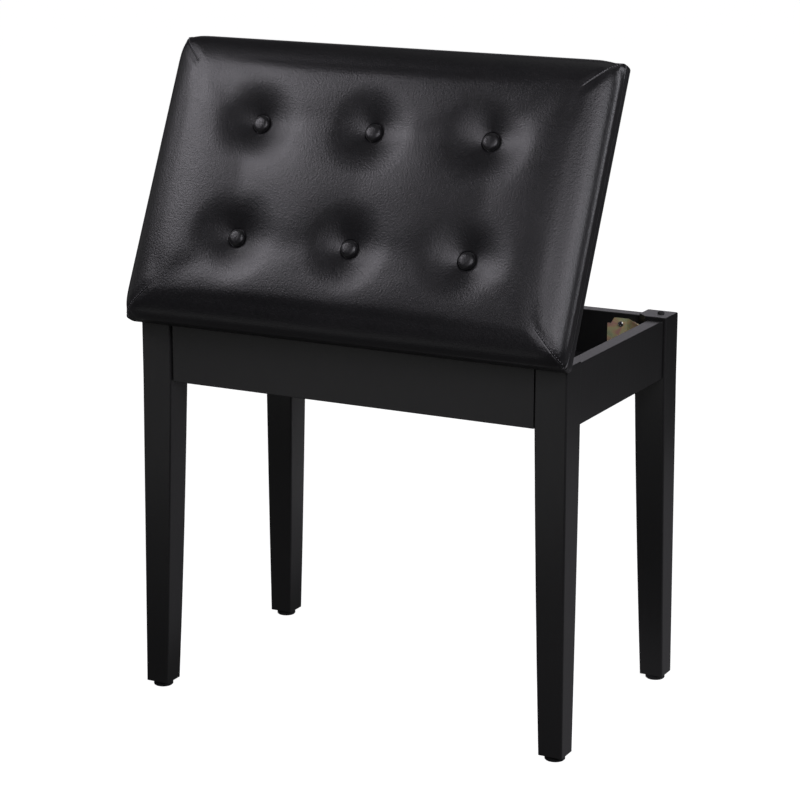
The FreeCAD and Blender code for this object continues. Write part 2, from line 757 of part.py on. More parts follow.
def bracket_screw_points():
    """Head centres of the lid bracket's screws, on the flange's underside."""
    x = stay_planes()[3][0] + 12
    lid_y = stay_pivots()[2][0]
    return [V(x, lid_y + side * 11, LID_UNDERSIDE - STAY_PLATE) for side in (-1, 1)]


def make_stay_lid_bracket():
    """Angle under the lid board: a flange screwed up and an ear with the lid pivot."""
    _, _, _, (x0, x1) = stay_planes()
    y, z = stay_pivots()[2]
    top = LID_UNDERSIDE
    flange = box(x0, x0 + 20, y - 18, y + 18, top - STAY_PLATE, top)
    ear = [V(x0, y - 12, top), V(x0, y + 12, top), V(x0, y + ARM_HALF_WIDTH, z), V(x0, y - ARM_HALF_WIDTH, z)]
    parts = [flange, prism(ear, V(x1 - x0, 0, 0))]
    parts.append(Part.makeCylinder(ARM_HALF_WIDTH, x1 - x0, V(x0, y, z), X_AXIS))
    bracket = join(parts)
    bracket = bracket.cut(rod(RIVET_RADIUS, V(x0 - 1, y, z), V(x1 + 1, y, z)))
    for point in bracket_screw_points():
        bracket = bracket.cut(screw_seat(point, (0, 0, 1)))
    return bracket


# Assembly


def frame_parts():
    """Everything that stands still."""
    parts = {}
    leg = make_leg()
    pad = make_pad()
    bracket = make_bracket()
    for place, quadrant in QUADRANTS.items():
        parts["leg_" + place] = to_quadrant(leg, quadrant)
        parts["foot_pad_" + place] = to_quadrant(pad, quadrant)
        parts["corner_bracket_" + place] = to_quadrant(bracket, quadrant)
    groups = {
        "foot_pad_nails": [make_nail()],
        "lid_bumpers": [make_bumper()],
        "hanger_bolts": [make_bolt()],
        "bracket_washers": [make_washer()],
        "bracket_nuts": [make_nut()],
        "bracket_screws": make_bracket_screws(),
    }
    for name, solids in groups.items():
        copies = [to_quadrant(solid, quadrant) for quadrant in QUADRANTS.values() for solid in solids]
        parts[name] = Part.makeCompound(copies)

    long_rail = make_rail(True)
    short_rail = make_rail(False)
    parts["rail_open_side"] = long_rail
    parts["rail_right"] = short_rail
    hinge_rail = to_quadrant(long_rail, (1, -1))
    left_rail = to_quadrant(short_rail, (-1, 1))
    parts["compartment_floor"] = make_floor_panel()

    leaf_top = RAIL_TOP + LEAF
    screws = []
    for side, centre in (("left", -HINGE_OFFSET), ("right", HINGE_OFFSET)):
        outer, _ = hinge_spans(centre)
        leaf = make_leaf(centre, outer, RAIL_TOP, PIN_RADIUS, leaf_top, (0, 0, -1))
        parts["hinge_rail_leaf_" + side] = leaf
        parts["hinge_pin_" + side] = make_pin(centre)
        for point in hinge_screw_points(centre, leaf_top):
            screws.append(screw(point, (0, 0, -1)))
            hinge_rail = hinge_rail.cut(screw_seat(point, (0, 0, -1)))
    parts["rail_hinge_side"] = hinge_rail
    parts["hinge_rail_screws"] = Part.makeCompound(screws)

    base, lower, _, _ = stay_planes()
    parts["stay_base_plate"] = make_stay_base()
    stay_screws = []
    for point in stay_base_screw_points():
        stay_screws.append(screw(point, (-1, 0, 0)))
        left_rail = left_rail.cut(screw_seat(point, (-1, 0, 0)))
    parts["rail_left"] = left_rail
    parts["stay_base_screws"] = Part.makeCompound(stay_screws)
    head = (lower[1] + ARM_PLAY, lower[1] + ARM_PLAY + RIVET_HEAD)
    parts["stay_base_rivet"] = make_rivet(stay_pivots()[0], base[0], head[1], [head])
    return parts


def lid_parts_closed():
    """Everything that turns with the lid, drawn closed."""
    parts = {}
    board = make_board()
    lining = make_lining()
    cover = make_cover()
    screws = []
    screw_z = LID_UNDERSIDE - LEAF
    for side, centre in (("left", -HINGE_OFFSET), ("right", HINGE_OFFSET)):
        _, inner = hinge_spans(centre)
        bore = PIN_RADIUS + PIN_CLEARANCE
        parts["hinge_lid_leaf_" + side] = make_leaf(centre, inner, screw_z, bore, screw_z, (0, 0, 1))
        for point in hinge_screw_points(centre, screw_z):
            screws.append(screw(point, (0, 0, 1)))
    parts["hinge_lid_screws"] = Part.makeCompound(screws)
    stay_screws = [screw(point, (0, 0, 1)) for point in bracket_screw_points()]
    parts["stay_lid_bracket"] = make_stay_lid_bracket()
    parts["stay_lid_screws"] = Part.makeCompound(stay_screws)
    holes = [screw_seat(V(p.x, p.y, p.z), (0, 0, 1)) for p in bracket_screw_points()]
    for centre in (-HINGE_OFFSET, HINGE_OFFSET):
        holes += [screw_seat(point, (0, 0, 1)) for point in hinge_screw_points(centre, screw_z)]
    for hole in holes:
        board = board.cut(hole)
        lining = lining.cut(hole)
        cover = cover.cut(hole)
    parts["lid_board"] = board
    parts["lid_lining"] = lining
    parts["seat_cover"] = cover
    parts["seat_foam"] = make_foam()
    points = tuft_points()
    parts["tuft_buttons"] = Part.makeCompound([make_button(x, y) for x, y in points])
    parts["tuft_cords"] = Part.makeCompound([make_cord(x, y) for x, y in points])
    parts["tuft_anchors"] = Part.makeCompound([make_anchor(x, y) for x, y in points])
    parts["lining_staples"] = make_staples(LINING_MARGIN + 4, LID_UNDERSIDE, 6, 4)
    parts["cover_staples"] = make_staples(COVER_TURN_IN - 8, LID_UNDERSIDE + LINING + STAPLE_WIRE, 10, 6)
    _, _, upper, ear = stay_planes()
    head = (upper[0] - ARM_PLAY - RIVET_HEAD, upper[0] - ARM_PLAY)
    parts["stay_lid_rivet"] = make_rivet(stay_pivots()[2], head[0], ear[1], [head])
    return parts


def stay_parts_closed():
    """The two arms of the lid stay and the elbow pin, drawn with the lid closed."""
    base_pivot, elbow, lid_pivot = stay_pivots()
    _, lower, upper, _ = stay_planes()
    running = RIVET_RADIUS + PIN_CLEARANCE
    lower_arm = make_arm(lower, base_pivot, elbow, running, RIVET_RADIUS)
    upper_arm = make_arm(upper, elbow, lid_pivot, RIVET_RADIUS + ELBOW_CLEARANCE, running)
    outer_head = (lower[0] - RIVET_HEAD, lower[0])
    collar = (lower[1], upper[0] - ARM_PLAY)
    inner_head = (upper[1] + ARM_PLAY, upper[1] + ARM_PLAY + RIVET_HEAD)
    pin = make_rivet(elbow, outer_head[0], inner_head[1], [outer_head, collar, inner_head])
    return {"stay_lower_arm": lower_arm, "stay_elbow_pin": pin}, {"stay_upper_arm": upper_arm}


def build():
    """All parts at the open rest pose."""
    parts = frame_parts()
    for name, shape in lid_parts_closed().items():
        parts[name] = turned(shape, PIN_Y, PIN_Z, OPEN_ANGLE)
    lower_group, upper_group = stay_parts_closed()
    base_pivot, _, (lid_y, lid_z) = stay_pivots()
    for name, shape in lower_group.items():
        parts[name] = turned(shape, base_pivot[0], base_pivot[1], OPEN_ANGLE)
    pin = V(0, PIN_Y, PIN_Z)
    arm = V(0, lid_y, lid_z) - pin
    opened = FreeCAD.Rotation(X_AXIS, OPEN_ANGLE).multVec(arm)
    for name, shape in upper_group.items():
        moved = shape.copy()
        moved.translate(opened - arm)
        parts[name] = moved
    return parts


os.makedirs("parts", exist_ok=True)
for node, solid in build().items():
    solid.exportStep("parts/" + node + ".step")
    print(node, round(solid.Volume, 1), "valid" if solid.isValid() else "INVALID")
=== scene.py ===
"""Piano bench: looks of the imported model, in metres, in the model's own frame."""

import json
import math

import bmesh
import bpy
import numpy as np
from mathutils import Matrix, Vector
from mathutils.bvhtree import BVHTree


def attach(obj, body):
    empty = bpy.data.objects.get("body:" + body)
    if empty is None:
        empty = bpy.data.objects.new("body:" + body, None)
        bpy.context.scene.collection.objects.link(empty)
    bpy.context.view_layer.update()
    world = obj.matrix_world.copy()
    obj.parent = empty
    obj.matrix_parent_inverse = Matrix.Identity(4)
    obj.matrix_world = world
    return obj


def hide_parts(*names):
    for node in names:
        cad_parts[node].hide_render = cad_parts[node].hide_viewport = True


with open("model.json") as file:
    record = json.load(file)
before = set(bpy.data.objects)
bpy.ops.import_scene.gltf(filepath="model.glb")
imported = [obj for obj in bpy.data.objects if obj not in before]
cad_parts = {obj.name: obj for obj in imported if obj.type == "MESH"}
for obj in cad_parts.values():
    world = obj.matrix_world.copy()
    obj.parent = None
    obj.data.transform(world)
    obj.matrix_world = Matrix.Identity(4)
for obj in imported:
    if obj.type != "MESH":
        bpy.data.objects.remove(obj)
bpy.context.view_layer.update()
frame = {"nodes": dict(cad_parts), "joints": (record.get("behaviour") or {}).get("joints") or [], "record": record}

MM = 0.001

# ---- lid's closed position: every lid piece is shaped there, then opened ----
hinge = next(j for j in frame["joints"] if j["name"] == "lid_hinge")
pin = Vector(hinge["pos_m"])
open_angle = -math.radians(hinge["range_deg"][0])
LID_OPEN = Matrix.Translation(pin) @ Matrix.Rotation(open_angle, 4, "X") @ Matrix.Translation(-pin)
LID_SHUT = LID_OPEN.inverted()


def shut_points(node):
    """Vertices of a lid node with the lid closed, as an array."""
    return np.array([LID_SHUT @ v.co for v in frame["nodes"][node].data.vertices])


def shut_box(node):
    """Lowest and highest corner of a lid node with the lid closed."""
    points = shut_points(node)
    return points.min(axis=0), points.max(axis=0)


cover_low, cover_high = shut_box("seat_cover")
_, board_high = shut_box("lid_board")
button_low, button_high = shut_box("tuft_buttons")
left_buttons = np.array([p for p in shut_points("tuft_buttons") if p[0] < float(button_low[0]) / 2])
HALF_X = float(cover_high[0])
HALF_Y = float(cover_high[1] - cover_low[1]) / 2
MID_Y = float(cover_high[1] + cover_low[1]) / 2
UNDERSIDE = float(cover_low[2])
BOARD_TOP = float(board_high[2])
LID_TOP = float(cover_high[2])

# ---- cushion ----
EDGE_WIDTH = 50 * MM        # how far in from the side the face starts to turn over
EDGE_POWER = 2.25           # shape of that turn
EDGE_BLEND = 5.0            # how sharply the turns of two sides meet at a corner
SIDE_TOP = BOARD_TOP + 7.5 * MM     # where the side stops being upright
FACE_LOW = BOARD_TOP + 5 * MM       # the face and its tufts lie above this height
CORNER_RADIUS = 9 * MM
CROWN = 1.2 * MM
FULLNESS = 0.6 * MM         # how far the swollen middle stands above the CAD lid
PUFF = 4.0 * MM             # room left for the swelling
BLOCK_INSET = 0.8 * MM      # how far the unswollen sides stand back
BASE_INSET = 1.6 * MM       # how much further in the underside ends
BASE_GAP = 0.3 * MM         # between the underside and the board
FACE_PITCH = 6 * MM
EDGE_STEPS = 9
TUFT_REACH = 40 * MM
TUFT_POWER = 2.3            # steepness of a tuft's sides towards the button
TUFT_FLOOR = 0.5 * MM       # height of the unswollen tuft's bottom above the button's base
TUFT_HOLD = 0.85            # how firmly the foam round a button resists the swelling
TUFT_STEEP = 0.38           # rise of the leather beside the button
TUFT_JOIN = 58 * MM         # where the drawn-in sides meet the swollen face
GAP = 1.9 * MM              # dark ring between a button and the leather round it
GAP_DEPTH = 1.8 * MM
PULL = 0.9 * MM             # shallow valley between the buttons of a row
PULL_WIDTH = 18 * MM
VOXEL = 5 * MM
PRESSURE = 2.5              # of the swelling
SWELL_FRAMES = 20
SWELL_LIMIT = 7 * MM        # farthest that the swelling moves a point
SMOOTHING = 10              # passes that even out small wrinkles of the swelling
BUTTON_RADIUS = float(left_buttons[:, 0].max() - left_buttons[:, 0].min()) / 2
BUTTON_X = [float(button_low[0]) + BUTTON_RADIUS, 0.0, float(button_high[0]) - BUTTON_RADIUS]
BUTTON_Y = [float(button_low[1]) + BUTTON_RADIUS - MID_Y, float(button_high[1]) - BUTTON_RADIUS - MID_Y]
BUTTONS = [(x, y) for y in BUTTON_Y for x in BUTTON_X]
BUTTON_BASE = float(button_low[2])


def new_object(name, verts, faces, smooth=True):
    """Mesh object from plain lists, linked to the scene."""
    mesh = bpy.data.meshes.new(name)
    mesh.from_pydata([tuple(v) for v in verts], [], faces)
    mesh.validate()
    mesh.update()
    if smooth:
        mesh.shade_smooth()
    obj = bpy.data.objects.new(name, mesh)
    bpy.context.scene.collection.objects.link(obj)
    return obj


def read_points(obj):
    """The mesh's vertices as an array."""
    return np.array([v.co for v in obj.data.vertices])


def write_points(obj, points):
    """Moves the mesh's vertices to the rows of an array."""
    obj.data.vertices.foreach_set("co", points.astype(np.float32).ravel())
    obj.data.update()


def ease(t):
    """Smooth step of a share between 0 and 1."""
    return t * t * (3 - 2 * t)


def button_distance(x, y):
    """Distance in plan to the nearest button's middle, with y measured from the lid's middle."""
    return min(math.hypot(x - bx, y - by) for bx, by in BUTTONS)


def grid_lines(half):
    """Coordinates across the cushion, dense where the face turns over at the sides."""
    turn = [EDGE_WIDTH * (k / EDGE_STEPS) ** 2 for k in range(EDGE_STEPS)]
    inner = half - EDGE_WIDTH
    count = int(round(2 * inner / FACE_PITCH))
    middle = np.linspace(-inner, inner, count + 1)
    return np.array([-half + d for d in turn] + list(middle) + [half - d for d in reversed(turn)])


def round_corner(x, y, half_x, half_y, radius):
    """Moves a point of a square-cornered plan to one with rounded corners."""
    px = abs(x) - (half_x - radius)
    py = abs(y) - (half_y - radius)
    if px <= 0 or py <= 0:
        return x, y
    qx = px * math.sqrt(1 - py * py / (2 * radius * radius))
    qy = py * math.sqrt(1 - px * px / (2 * radius * radius))
    return math.copysign(half_x - radius + qx, x), math.copysign(half_y - radius + qy, y)


def turn_over(t):
    """Share of the edge's drop at share t of the way to the side."""
    return 1 - (1 - min(1.0, t) ** EDGE_POWER) ** (1 / EDGE_POWER)


def tuft(x, y):
    """Share of the tuft depth at a point of the face, 1 under a button."""
    t = max(0.0, button_distance(x, y) - BUTTON_RADIUS) / (TUFT_REACH - BUTTON_RADIUS)
    return (1 - min(1.0, t)) ** TUFT_POWER


def cushion_block():
    """Closed block of the padded cover above the board, a little smaller than the finished one."""
    half_x, half_y = HALF_X - BLOCK_INSET, HALF_Y - BLOCK_INSET
    xs, ys = grid_lines(half_x), grid_lines(half_y)
    top = LID_TOP - PUFF - CROWN
    depth = top + CROWN - (BUTTON_BASE + TUFT_FLOOR)
    verts, index = [], {}
    for level in ("top", "bottom"):
        for i, x in enumerate(xs):
            for j, y in enumerate(ys):
                tx = max(0.0, 1 - (half_x - abs(x)) / EDGE_WIDTH)
                ty = max(0.0, 1 - (half_y - abs(y)) / EDGE_WIDTH)
                t = (tx ** EDGE_BLEND + ty ** EDGE_BLEND) ** (1 / EDGE_BLEND)
                px, py = round_corner(x, y, half_x, half_y, CORNER_RADIUS)
                if level == "top":
                    crown = CROWN * (1 - (x / half_x) ** 2) * (1 - (y / half_y) ** 2)
                    z = top + crown - (top - SIDE_TOP) * turn_over(t) - depth * tuft(x, y)
                else:
                    z = BOARD_TOP + BASE_GAP
                    px, py = px * (1 - BASE_INSET / half_x), py * (1 - BASE_INSET / half_y)
                index[level, i, j] = len(verts)
                verts.append((px, py + MID_Y, z))
    nx, ny = len(xs), len(ys)
    faces = []
    for i in range(nx - 1):
        for j in range(ny - 1):
            quad = [(i, j), (i + 1, j), (i + 1, j + 1), (i, j + 1)]
            faces.append([index["top", *q] for q in quad])
            faces.append([index["bottom", *q] for q in reversed(quad)])
    ring = ([(i, 0) for i in range(nx - 1)] + [(nx - 1, j) for j in range(ny - 1)]
            + [(i, ny - 1) for i in range(nx - 1, 0, -1)] + [(0, j) for j in range(ny - 1, 0, -1)])
    for a, b in zip(ring, ring[1:] + ring[:1]):
        faces.append([index["bottom", *a], index["bottom", *b], index["top", *b], index["top", *a]])
    return new_object("cushion_block", verts, faces)


def apply_modifiers(obj):
    """Replaces the object's mesh by its evaluated one."""
    graph = bpy.context.evaluated_depsgraph_get()
    mesh = bpy.data.meshes.new_from_object(obj.evaluated_get(graph))
    obj.modifiers.clear()
    obj.data = mesh


def remeshed(block, name):
    """Copy of a closed block with even faces."""
    obj = bpy.data.objects.new(name, block.data.copy())
    bpy.context.scene.collection.objects.link(obj)
    remesh = obj.modifiers.new("even", "REMESH")
    remesh.mode = "VOXEL"
    remesh.voxel_size = VOXEL
    remesh.use_smooth_shade = True
    apply_modifiers(obj)
    bpy.data.objects.remove(block)
    return obj


def puff_up(obj):
    """Swells the cushion by cloth simulation, held at the board and at the buttons."""
    start = read_points(obj)
    held_height, held_radius = BOARD_TOP + 3 * MM, 0.95 * BUTTON_RADIUS
    held = obj.vertex_groups.new(name="held")
    for v in obj.data.vertices:
        tied = v.co.z < held_height or button_distance(v.co.x, v.co.y - MID_Y) < held_radius
        held.add([v.index], 1.0 if tied else 0.0, "REPLACE")
    cloth = obj.modifiers.new("swell", "CLOTH")
    cloth.settings.quality = 8
    cloth.settings.mass = 0.3
    cloth.settings.use_pressure = True
    cloth.settings.uniform_pressure_force = PRESSURE
    cloth.settings.tension_stiffness = 22
    cloth.settings.compression_stiffness = 22
    cloth.settings.shear_stiffness = 8
    cloth.settings.bending_stiffness = 1.5
    cloth.settings.vertex_group_mass = "held"
    cloth.settings.pin_stiffness = 1.0
    cloth.settings.effector_weights.gravity = 0
    cloth.collision_settings.use_collision = False
    scene = bpy.context.scene
    for number in range(1, SWELL_FRAMES + 1):
        scene.frame_set(number)
    graph = bpy.context.evaluated_depsgraph_get()
    swollen = obj.evaluated_get(graph).to_mesh()
    moved = np.array([v.co for v in swollen.vertices]) - start
    obj.evaluated_get(graph).to_mesh_clear()
    obj.modifiers.clear()
    obj.vertex_groups.clear()
    scene.frame_set(1)
    edges = np.array([e.vertices[:] for e in obj.data.edges])
    count = np.bincount(edges.ravel(), minlength=len(start))[:, None]
    for _ in range(SMOOTHING):
        total = np.zeros_like(moved)
        np.add.at(total, edges[:, 0], moved[edges[:, 1]])
        np.add.at(total, edges[:, 1], moved[edges[:, 0]])
        moved = 0.5 * moved + 0.5 * total / count
    kept = np.array([1 - TUFT_HOLD * tuft(x, y - MID_Y) ** 0.5 for x, y, _ in start])
    moved *= kept[:, None]
    size = np.linalg.norm(moved, axis=1)
    soft = SWELL_LIMIT * np.tanh(size / SWELL_LIMIT)
    moved *= (soft / np.maximum(size, 1e-9))[:, None]
    write_points(obj, start + moved)


cushion = remeshed(cushion_block(), "seat_cushion")
puff_up(cushion)


def to_open(obj):
    """Opens a lid piece that was shaped with the lid closed."""
    obj.data.transform(LID_OPEN)
    obj.data.update()


def subdivide(obj):
    """One smoothing subdivision, applied."""
    finer = obj.modifiers.new("finer", "SUBSURF")
    finer.levels = finer.render_levels = 1
    apply_modifiers(obj)
    obj.data.shade_smooth()


def fit_height(obj):
    """Stretches the cushion above its sides so that its top stands as high as the full lid."""
    co = read_points(obj)
    above = co[:, 2] - SIDE_TOP
    scale = (LID_TOP + FULLNESS - SIDE_TOP) / above.max()
    fade_height = 6 * MM
    co[:, 2] += np.clip(above / fade_height, 0, 1) * (scale - 1) * above
    write_points(obj, co)


def even_roll(obj):
    """Evens out the turn from the face to the sides, keeping its own mean curve.

    Across the turn, t is the share of the way out and h the share of the height, so that a point has an
    angle and a reach there. The reach is drawn to the mean one, except near the mitres and the face.
    """
    co = read_points(obj)
    height = LID_TOP - SIDE_TOP
    px, py = co[:, 0], co[:, 1] - MID_Y
    tx = np.maximum(0, 1 - (HALF_X - np.abs(px)) / EDGE_WIDTH)
    ty = np.maximum(0, 1 - (HALF_Y - np.abs(py)) / EDGE_WIDTH)
    t = (tx ** EDGE_BLEND + ty ** EDGE_BLEND) ** (1 / EDGE_BLEND)
    level = (co[:, 2] - SIDE_TOP) / height
    h = np.maximum(level, 0)
    reach = (t ** EDGE_POWER + h ** EDGE_POWER) ** (1 / EDGE_POWER)
    angle = np.arctan2(t, np.maximum(h, 1e-6))
    off_mitre = np.abs(tx - ty)
    turning = t > 0.1
    sample = turning & (h > 0) & (off_mitre > 0.05)
    curve = np.polynomial.Polynomial.fit(angle[sample], reach[sample], 5)
    side_reach = 1 - 0.1 * MM / EDGE_WIDTH
    target = curve(angle) + (side_reach - curve(math.pi / 2)) * (2 * angle / math.pi) ** 4
    from_face = ease(np.clip((angle - 0.12) / 0.4, 0, 1))
    from_mitre = ease(np.clip((off_mitre - 0.03) / 0.25, 0, 1))
    from_below = np.clip(1 + level / 0.4, 0, 1)
    growth = from_face * from_mitre * from_below * (target / np.maximum(reach, 1e-6) - 1)
    growth = np.where(turning, growth, 0)
    side_x, side_y = tx ** (EDGE_BLEND - 1), ty ** (EDGE_BLEND - 1)
    size = np.maximum(np.hypot(side_x, side_y), 1e-9)
    out = growth * t * EDGE_WIDTH
    co[:, 0] += np.sign(px) * out * side_x / size
    co[:, 1] += np.sign(py) * out * side_y / size
    co[:, 2] += growth * h * height
    write_points(obj, co)


def refine(obj, chosen):
    """Finer faces where the middle of an edge is chosen."""
    mesh = bmesh.new()
    mesh.from_mesh(obj.data)
    edges = [e for e in mesh.edges if chosen((e.verts[0].co + e.verts[1].co) / 2)]
    bmesh.ops.subdivide_edges(mesh, edges=edges, cuts=1, use_grid_fill=True, smooth=0.0)
    mesh.to_mesh(obj.data)
    mesh.free()


def refine_tufts(obj):
    """Finer faces towards the buttons."""
    for reach in (30 * MM, 18 * MM):
        refine(obj, lambda p: p.z > FACE_LOW and button_distance(p.x, p.y - MID_Y) < reach)


def press_tufts(obj):
    """Gives each tuft a flat seat for its button and steep sides that meet the swollen face."""
    co = read_points(obj)
    top = co[:, 2] > FACE_LOW
    seat = BUTTON_RADIUS + GAP
    span = TUFT_JOIN - seat
    seat_z = BUTTON_BASE + 0.2 * MM
    moat_width = 1.3 * MM
    uneven_from = 20 * MM
    radii = np.arange(0, TUFT_JOIN + 4 * MM, 1 * MM)
    half_band = 1.4 * MM
    for bx, by in BUTTONS:
        r = np.hypot(co[:, 0] - bx, co[:, 1] - MID_Y - by)
        mean = np.array([co[top & (np.abs(r - q) < half_band), 2].mean() for q in radii])
        join = np.interp(TUFT_JOIN, radii, mean)
        slope = (mean[-1] - mean[-4]) / (radii[-1] - radii[-4])
        t = np.clip((r - seat) / span, 0, 1)
        target = (seat_z * (2 * t ** 3 - 3 * t ** 2 + 1) + TUFT_STEEP * span * (t ** 3 - 2 * t ** 2 + t)
                  + join * (3 * t ** 2 - 2 * t ** 3) + slope * span * (t ** 3 - t ** 2))
        target -= GAP_DEPTH * ease(np.clip((seat - r) / moat_width, 0, 1))
        loose = ease(np.clip((r - uneven_from) / (TUFT_JOIN - uneven_from), 0, 1))
        uneven = (co[:, 2] - np.interp(r, radii, mean)) * loose
        inside = top & (r < TUFT_JOIN)
        co[inside, 2] = (target + uneven)[inside]
    pull_start, pull_end, pull_fade = 22 * MM, 220 * MM, 70 * MM
    for by in BUTTON_Y:
        away = np.min([np.hypot(co[:, 0] - bx, co[:, 1] - MID_Y - by) for bx in BUTTON_X], axis=0)
        past_button = np.clip((away - seat) / pull_start, 0, 1)
        before_end = np.clip((pull_end - np.abs(co[:, 0])) / pull_fade, 0, 1)
        across = np.exp(-((co[:, 1] - MID_Y - by) / PULL_WIDTH) ** 2)
        co[:, 2] -= np.where(top, PULL * across * past_button * before_end, 0)
    write_points(obj, co)


# ---- lower lip: the padded cover hangs a little over the board's edge ----
LIP_BOTTOM = UNDERSIDE + 8.9 * MM
LIP_OUT = 0.1 * MM
LIP_BLEND = 9 * MM
LIP_REACH = 7 * MM          # how far in from the side the lip is drawn down
LIP_FADE = 3 * MM
BOARD_CORNER = 5 * MM       # the covered board's corners are tighter than the cushion's


def hang_lip(obj):
    """Draws the lower edge of the cushion down over the board's edge."""
    co = read_points(obj)
    px, py = co[:, 0], co[:, 1] - MID_Y
    qx = np.abs(px) - (HALF_X - BOARD_CORNER)
    qy = np.abs(py) - (HALF_Y - BOARD_CORNER)
    corner = np.hypot(np.maximum(qx, 0), np.maximum(qy, 0))
    inside = BOARD_CORNER - np.where((qx > 0) | (qy > 0), corner, np.maximum(qx, qy))
    way_x = np.sign(px) * np.maximum(qx, 0) / np.maximum(corner, 1e-9)
    way_y = np.sign(py) * np.maximum(qy, 0) / np.maximum(corner, 1e-9)
    low = np.clip((BOARD_TOP + LIP_BLEND - co[:, 2]) / LIP_BLEND, 0, 1)
    near = np.clip((LIP_REACH - inside) / LIP_FADE, 0, 1)
    weight = ease(low) * near
    co[:, 2] -= weight * (BOARD_TOP - LIP_BOTTOM)
    outward = weight * (inside + LIP_OUT)
    co[:, 0] += way_x * outward
    co[:, 1] += way_y * outward
    write_points(obj, co)


# ---- mitred corner seams ----
SEAM_START = 38 * MM        # how far in from the corner the seam begins, along each side
SEAM_GROOVE = 0.45 * MM
SEAM_WIDTH = 0.6 * MM
SEAM_LIP = 0.05 * MM
SEAM_LIPS = [(2.2 * MM, 1.5 * MM, 1.0), (-1.8 * MM, 1.3 * MM, 0.5)]     # place, width, share of the height
SEAM_REACH = 8 * MM
STITCH_ROW = 1.2 * MM       # distance of the stitches from the seam
STITCH_PITCH = 3.1 * MM
STITCH_LENGTH = 1.7 * MM
THREAD_RADIUS = 0.3 * MM


def seam_frame(sx, sy):
    """Start of a corner's seam in plan, its direction outwards, and the direction across it."""
    start = Vector((sx * (HALF_X - SEAM_START), MID_Y + sy * (HALF_Y - SEAM_START), 0))
    along = Vector((sx, sy, 0)).normalized()
    across = Vector((0, 0, 1)).cross(along)
    if across.y < 0:
        across = -across
    return start, along, across


SEAMS = [seam_frame(sx, sy) for sx in (-1, 1) for sy in (-1, 1)]


def beside_seam(point, reach):
    """Whether a point above the board lies within reach of a corner seam."""
    for start, along, across in SEAMS:
        offset = Vector((point.x, point.y, 0)) - start
        if offset.dot(along) > -6 * MM and abs(offset.dot(across)) < reach:
            return point.z > BOARD_TOP + 1 * MM
    return False


def refine_seams(obj):
    """Finer faces beside the corner seams."""
    for reach in (9 * MM, 6 * MM):
        refine(obj, lambda p: beside_seam(p, reach))


def press_seams(obj):
    """Presses each corner's seam line into the cushion, with a soft lip at each side."""
    co = read_points(obj)
    normals = np.array([v.normal for v in obj.data.vertices])
    shift = np.zeros(len(co))
    for start, along, across in SEAMS:
        flat = co - np.array(start)
        flat[:, 2] = 0
        u, s = flat @ np.array(along), flat @ np.array(across)
        fade = ease(np.clip((u + 1 * MM) / (9 * MM), 0, 1)) * (normals[:, 2] > -0.5)
        profile = -SEAM_GROOVE * np.exp(-(s / SEAM_WIDTH) ** 2)
        for place, width, share in SEAM_LIPS:
            profile += SEAM_LIP * share * np.exp(-((s - place) / width) ** 2)
        shift += np.where(np.abs(s) < SEAM_REACH, fade * profile, 0)
    write_points(obj, co + normals * shift[:, None])


def stitch(centre, along, normal, across):
    """One sunk stitch: a short bowed thread, as vertices and faces."""
    rings, sides = 7, 8
    verts, faces = [], []
    for k in range(rings):
        t = -1 + 2 * k / (rings - 1)
        p = centre + along * (t * STITCH_LENGTH / 2) + normal * (THREAD_RADIUS * (0.75 - 1.5 * t * t))
        r = THREAD_RADIUS * (1 - 0.45 * t * t)
        for m in range(sides):
            a = 2 * math.pi * m / sides
            verts.append(p + normal * (r * math.cos(a)) + across * (r * math.sin(a)))
    for k in range(rings - 1):
        for m in range(sides):
            n = (m + 1) % sides
            faces.append([k * sides + m, k * sides + n, (k + 1) * sides + n, (k + 1) * sides + m])
    faces.append(list(range(sides))[::-1])
    faces.append([(rings - 1) * sides + m for m in range(sides)])
    return verts, faces


def corner_stitches(base):
    """Top-stitching beside each corner seam, found by rays from a hub inside the corner."""
    tree = BVHTree.FromObject(base, bpy.context.evaluated_depsgraph_get())
    verts, faces = [], []
    rays, sweep = 240, math.radians(150)
    for start, along, across in SEAMS:
        hub = start + along * 20 * MM
        hub.z = BOARD_TOP + 2 * MM
        points = []
        for k in range(rays + 1):
            angle = sweep - sweep * k / rays
            way = along * math.cos(angle) + Vector((0, 0, math.sin(angle)))
            hit, normal, _, _ = tree.ray_cast(hub + across * STITCH_ROW, way)
            if hit is not None and (hit - start).dot(along) > 3 * MM:
                points.append((hit, normal))
        travel = 0.0
        for (a, na), (b, _) in zip(points, points[1:]):
            travel += (b - a).length
            if travel > STITCH_PITCH and a.z > BOARD_TOP + 4 * MM:
                travel = 0.0
                way = (b - a).normalized()
                v, f = stitch(a, way, na, na.cross(way).normalized())
                faces += [[i + len(verts) for i in q] for q in f]
                verts += v
    return new_object("corner_stitches", verts, faces)


# ---- leather wrapped round the board's edge and turned under it ----
# Outward from the side and up from the strip's lowest level, in mm: on the board under the cushion,
# down the side, under the board, and round the folded hem.
WRAP_SECTION = [(-12.0, 14.5), (-3.0, 14.5), (-1.4, 14.45), (-0.8, 14.2), (-0.45, 13.6), (-0.35, 12.6),
                (-0.35, 11.0), (-0.3, 10.0), (-0.15, 9.3), (0.0, 8.3), (0.0, 5.0), (-0.02, 3.0),
                (-0.2, 1.9), (-0.75, 0.95), (-1.6, 0.6), (-3.0, 0.6), (-8.0, 0.6), (-14.0, 0.6),
                (-22.0, 0.6), (-28.9, 0.6), (-29.4, 0.75), (-29.5, 1.1), (-29.3, 1.45), (-27.0, 1.5)]
WRAP_LEVEL = UNDERSIDE - 0.6 * MM
PUCKER_PITCH = 46 * MM      # the leather is drawn in and let out this often round the lid
FOLD_REACH = 16 * MM        # how far from a corner the leather lies in small folds
FOLD_PITCH = 2.4 * MM


